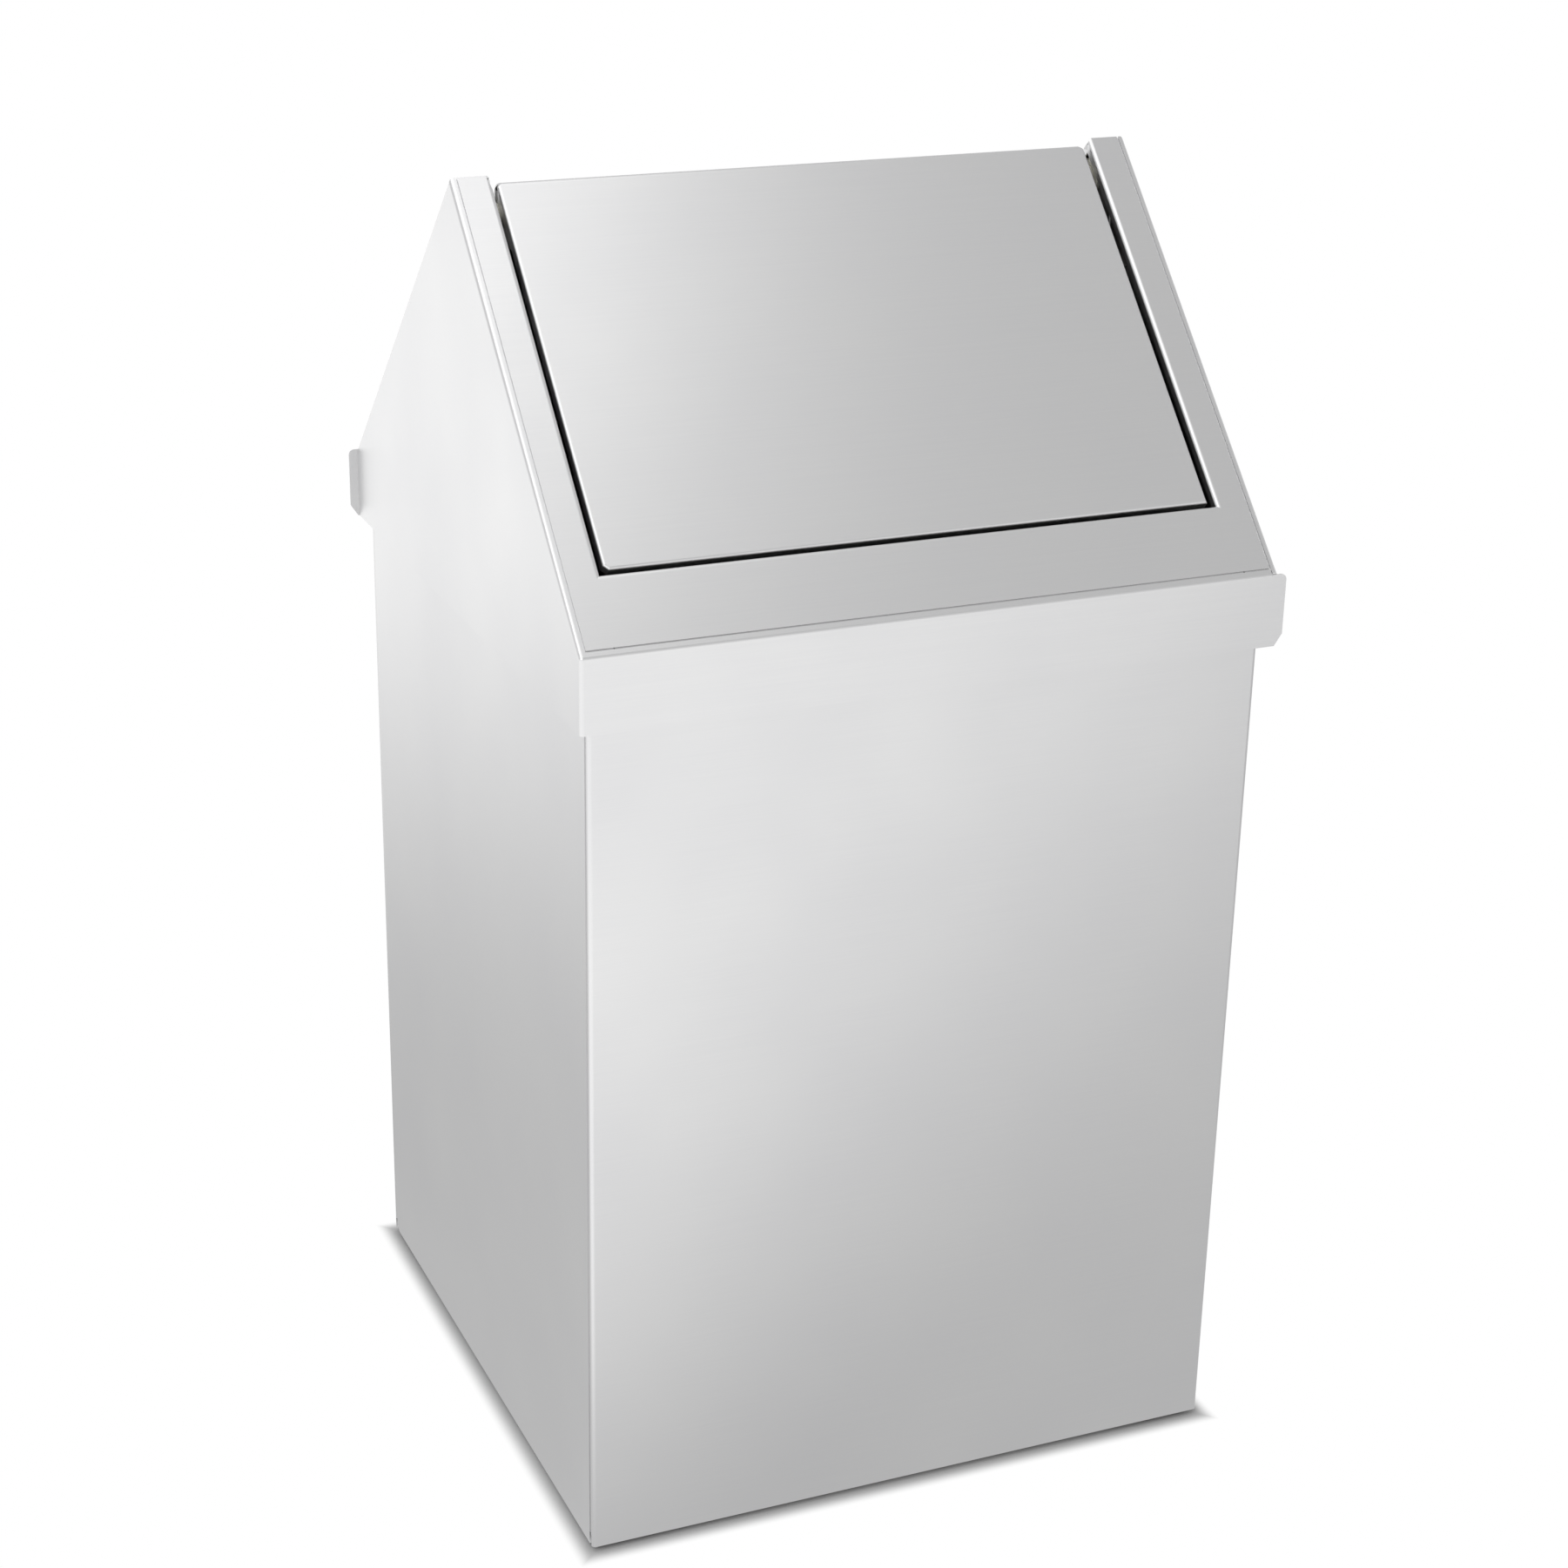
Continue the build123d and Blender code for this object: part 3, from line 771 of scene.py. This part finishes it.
@dataclass
class Studio:
    """White floor, soft light and the camera."""

    lamps: tuple[SoftBox, ...] = (
        SoftBox("key_softbox", (-1.6, -1.3, 1.7), 1.4, 16.0),
        SoftBox("top_softbox", (-0.3, 0.0, 1.6), 1.3, 5.6),
    )
    lamp_aim: tuple[float, float, float] = (0.0, 0.0, 0.35)

    azimuth: float = -23.43
    elevation: float = 22.89
    roll: float = 1.15
    distance: float = 1653.73
    target_right: float = 0.63
    target_height: float = 288.83
    focal: float = 3636.82  # in pixels of the photograph
    centre_x: float = 904.91
    centre_y: float = 965.07
    frame_width: float = 1801.0
    sensor: float = 36.0
    floor_radius: float = 14000.0
    footprint: float = 170.0
    shadow_fade: float = 10.0  # the paper shows its shading this far round the bin, and its grey deepens that shadow as painted shade
    # The paper glows for shiny surfaces with painted light: painted shade near the bin, a painted
    # pool of light further out
    painted_pool_slant: float = 0.9  # the painted pool of light on the paper grows to the front left and rear left
    rear_share: float = 0.37  # how fast it grows behind the bin, against in front
    painted_pool_near: float = 220.0
    painted_pool_far: float = 800.0
    painted_shade_level: float = 0.72
    painted_pool_level: float = 1.42
    dim_ceiling: float = 0.72
    ceiling_from: float = 0.1  # upward part of a direction where the ceiling starts
    ceiling_to: float = 0.7
    fill_from: float = 0.05
    fill_low: float = 0.05  # level with the floor, so that the gap under the bin stays dark
    fill_high: float = 0.8

    def add_camera(self) -> None:
        """Put the camera where the photograph was taken from."""
        azimuth, elevation = math.radians(self.azimuth), math.radians(self.elevation)
        roll = math.radians(self.roll)
        back = Vector(
            (
                math.sin(azimuth) * math.cos(elevation),
                -math.cos(azimuth) * math.cos(elevation),
                math.sin(elevation),
            )
        )
        level_right = Vector((math.cos(azimuth), math.sin(azimuth), 0))
        level_up = back.cross(level_right)
        right = level_right * math.cos(roll) + level_up * math.sin(roll)
        up = level_up * math.cos(roll) - level_right * math.sin(roll)
        target = level_right * self.target_right + Vector((0, 0, self.target_height))
        data = bpy.data.cameras.new("camera")
        data.sensor_width = self.sensor
        data.lens = self.focal / self.frame_width * self.sensor
        data.shift_x = -(self.centre_x / self.frame_width - 0.5)
        data.shift_y = self.centre_y / self.frame_width - 0.5
        data.clip_end = 100.0
        camera = bpy.data.objects.new("camera", data)
        camera.matrix_world = Matrix.Translation((target + back * self.distance) * MM) @ Matrix(
            (right, up, back)
        ).transposed().to_4x4()
        bpy.context.scene.collection.objects.link(camera)
        bpy.context.scene.camera = camera

    def ray_kinds(self, tree: bpy.types.NodeTree) -> tuple[bpy.types.NodeSocket, ...]:
        """Tell which rays look at the background.

        Args:
            tree: The tree that needs the answer.

        Returns:
            Two sockets: 1 for camera rays, and 1 for glossy and transmission rays.
        """
        path = add_node(tree, "LightPath")
        shiny = add_node(
            tree,
            "Math",
            {0: path.outputs["Is Glossy Ray"], 1: path.outputs["Is Transmission Ray"]},
            operation="MAXIMUM",
        )
        return path.outputs["Is Camera Ray"], shiny.outputs["Value"]

    def add_world(self) -> None:
        """Surround the scene with white that also lights it softly."""
        world = bpy.data.worlds.new("studio")
        world.use_nodes = True
        tree = world.node_tree
        tree.nodes.clear()
        camera, shiny = self.ray_kinds(tree)
        direction = add_node(tree, "TexCoord")
        axes = add_node(tree, "SeparateXYZ", {"Vector": direction.outputs["Generated"]})
        ceiling = add_node(
            tree,
            "MapRange",
            {
                "Value": axes.outputs["Z"],
                "From Min": self.ceiling_from,
                "From Max": self.ceiling_to,
                "To Min": 1.0,
                "To Max": self.dim_ceiling,
            },
        )
        soft = add_node(
            tree,
            "MapRange",
            {
                "Value": axes.outputs["Z"],
                "From Min": self.fill_from,
                "From Max": self.ceiling_to,
                "To Min": self.fill_low,
                "To Max": self.fill_high,
            },
        )
        fill = add_node(
            tree, "Background", {"Color": (1, 1, 1, 1), "Strength": soft.outputs["Result"]}
        )
        room = add_node(
            tree, "Background", {"Color": (1, 1, 1, 1), "Strength": ceiling.outputs["Result"]}
        )
        white = add_node(tree, "Background", {"Color": (1, 1, 1, 1), "Strength": 1.0})
        for_other_rays = add_node(tree, "MixShader", {0: shiny, 1: fill.outputs[0], 2: room.outputs[0]})
        mixed = add_node(tree, "MixShader", {0: camera, 1: for_other_rays.outputs[0], 2: white.outputs[0]})
        add_node(tree, "OutputWorld", {"Surface": mixed.outputs[0]})
        bpy.context.scene.world = world

    def painted_pool_and_shade(
        self, tree: bpy.types.NodeTree, axes: bpy.types.Node
    ) -> bpy.types.NodeSocket:
        """Work out the painted glow that shiny surfaces see on the paper: a painted pool of light
        and painted shade.

        Args:
            tree: The floor's tree.
            axes: Node that gives the place on the floor.

        Returns:
            The strength: a painted pool of light, brighter towards the front left and the rear
                left, and painted shade, dimmer near the bin.
        """
        sideways = add_node(
            tree, "Math", {0: axes.outputs["X"], 1: -self.painted_pool_slant}, operation="MULTIPLY"
        )
        front = add_node(
            tree,
            "Math",
            {0: sideways.outputs["Value"], 1: axes.outputs["Y"]},
            operation="SUBTRACT",
        )
        rear = add_node(
            tree, "Math", {0: sideways.outputs["Value"], 1: axes.outputs["Y"]}, operation="ADD"
        )
        slower = add_node(
            tree, "Math", {0: rear.outputs["Value"], 1: self.rear_share}, operation="MULTIPLY"
        )
        reach = add_node(
            tree,
            "Math",
            {0: front.outputs["Value"], 1: slower.outputs["Value"]},
            operation="MAXIMUM",
        )
        strength = add_node(
            tree,
            "MapRange",
            {
                "Value": reach.outputs["Value"],
                "From Min": self.painted_pool_near * MM,
                "From Max": self.painted_pool_far * MM,
                "To Min": self.painted_shade_level,
                "To Max": self.painted_pool_level,
            },
            interpolation_type="SMOOTHSTEP",
        )
        return strength.outputs["Result"]

    def add_floor(self) -> None:
        """Lay a white floor that keeps the shadow close to the bin, deepened there by grey paper as
        painted shade, and that shows shiny surfaces a painted pool of light and painted shade.
        """
        shape = bmesh.new()
        bmesh.ops.create_circle(
            shape, cap_ends=True, cap_tris=False, segments=96, radius=self.floor_radius * MM
        )
        mesh = bpy.data.meshes.new("floor")
        shape.to_mesh(mesh)
        shape.free()
        floor = bpy.data.objects.new("floor", mesh)
        bpy.context.scene.collection.objects.link(floor)
        material = bpy.data.materials.new("paper_with_painted_shade_and_pool")
        material.use_nodes = True
        tree = material.node_tree
        tree.nodes.clear()
        place = add_node(tree, "TexCoord")
        axes = add_node(tree, "SeparateXYZ", {"Vector": place.outputs["Object"]})
        sizes = [
            add_node(tree, "Math", {0: axes.outputs[axis]}, operation="ABSOLUTE")
            for axis in ("X", "Y")
        ]
        beyond = add_node(
            tree,
            "Math",
            {0: sizes[0].outputs["Value"], 1: sizes[1].outputs["Value"]},
            operation="MAXIMUM",
        )
        fade = add_node(
            tree,
            "MapRange",
            {
                "Value": beyond.outputs["Value"],
                "From Min": self.footprint * MM,
                "From Max": (self.footprint + self.shadow_fade) * MM,
            },
            interpolation_type="SMOOTHSTEP",
        )
        camera, shiny = self.ray_kinds(tree)
        shown = add_node(
            tree, "Math", {0: fade.outputs["Result"], 1: camera}, operation="MULTIPLY"
        )
        # Grey paper round the bin: real shading, deepened by painted shade in its grey colour
        paper = add_node(tree, "BsdfDiffuse", {"Color": linear("B8B8B8")})
        white = add_node(tree, "Emission", {"Color": (1, 1, 1, 1), "Strength": 1.0})
        # Shiny surfaces see the paper glow with a painted pool of light and painted shade
        for_other_rays = add_node(
            tree, "Emission", {"Color": (1, 1, 1, 1), "Strength": self.painted_pool_and_shade(tree, axes)}
        )
        seen = add_node(
            tree,
            "MixShader",
            {0: shown.outputs["Value"], 1: paper.outputs[0], 2: white.outputs[0]},
        )
        mixed = add_node(tree, "MixShader", {0: shiny, 1: seen.outputs[0], 2: for_other_rays.outputs[0]})
        add_node(tree, "OutputMaterial", {"Surface": mixed.outputs[0]})
        mesh.materials.append(material)

    def add_lamp(self, box: SoftBox) -> None:
        """Add a soft box that points at the bin.

        Args:
            box: What to add.
        """
        data = bpy.data.lights.new(box.name, "AREA")
        data.shape = "SQUARE"
        data.size = box.size
        data.energy = box.power
        lamp = bpy.data.objects.new(box.name, data)
        lamp.location = box.place
        aim = Vector(box.place) - Vector(self.lamp_aim)
        lamp.rotation_mode = "QUATERNION"
        lamp.rotation_quaternion = aim.to_track_quat("Z", "Y")
        bpy.context.scene.collection.objects.link(lamp)

    def build(self) -> None:
        """Set up the whole studio."""
        self.add_camera()
        self.add_world()
        self.add_floor()
        for box in self.lamps:
            self.add_lamp(box)
        bpy.context.scene.view_settings.view_transform = "Standard"


def main() -> None:
    """Build the studio and dress the bin, body by body."""
    logging.basicConfig(level=logging.INFO, format="%(name)s: %(message)s")
    Studio().build()
    finishes = {slot: finish.make() for slot, finish in FINISHES.items()}
    for assembly in (
        Shell(Body.BODY, finishes),
        Hood(Body.HOOD, finishes),
        Flap(Body.FLAP, finishes),
    ):
        assembly.build()
        assembly.report()


if __name__ == "__main__":
    main()
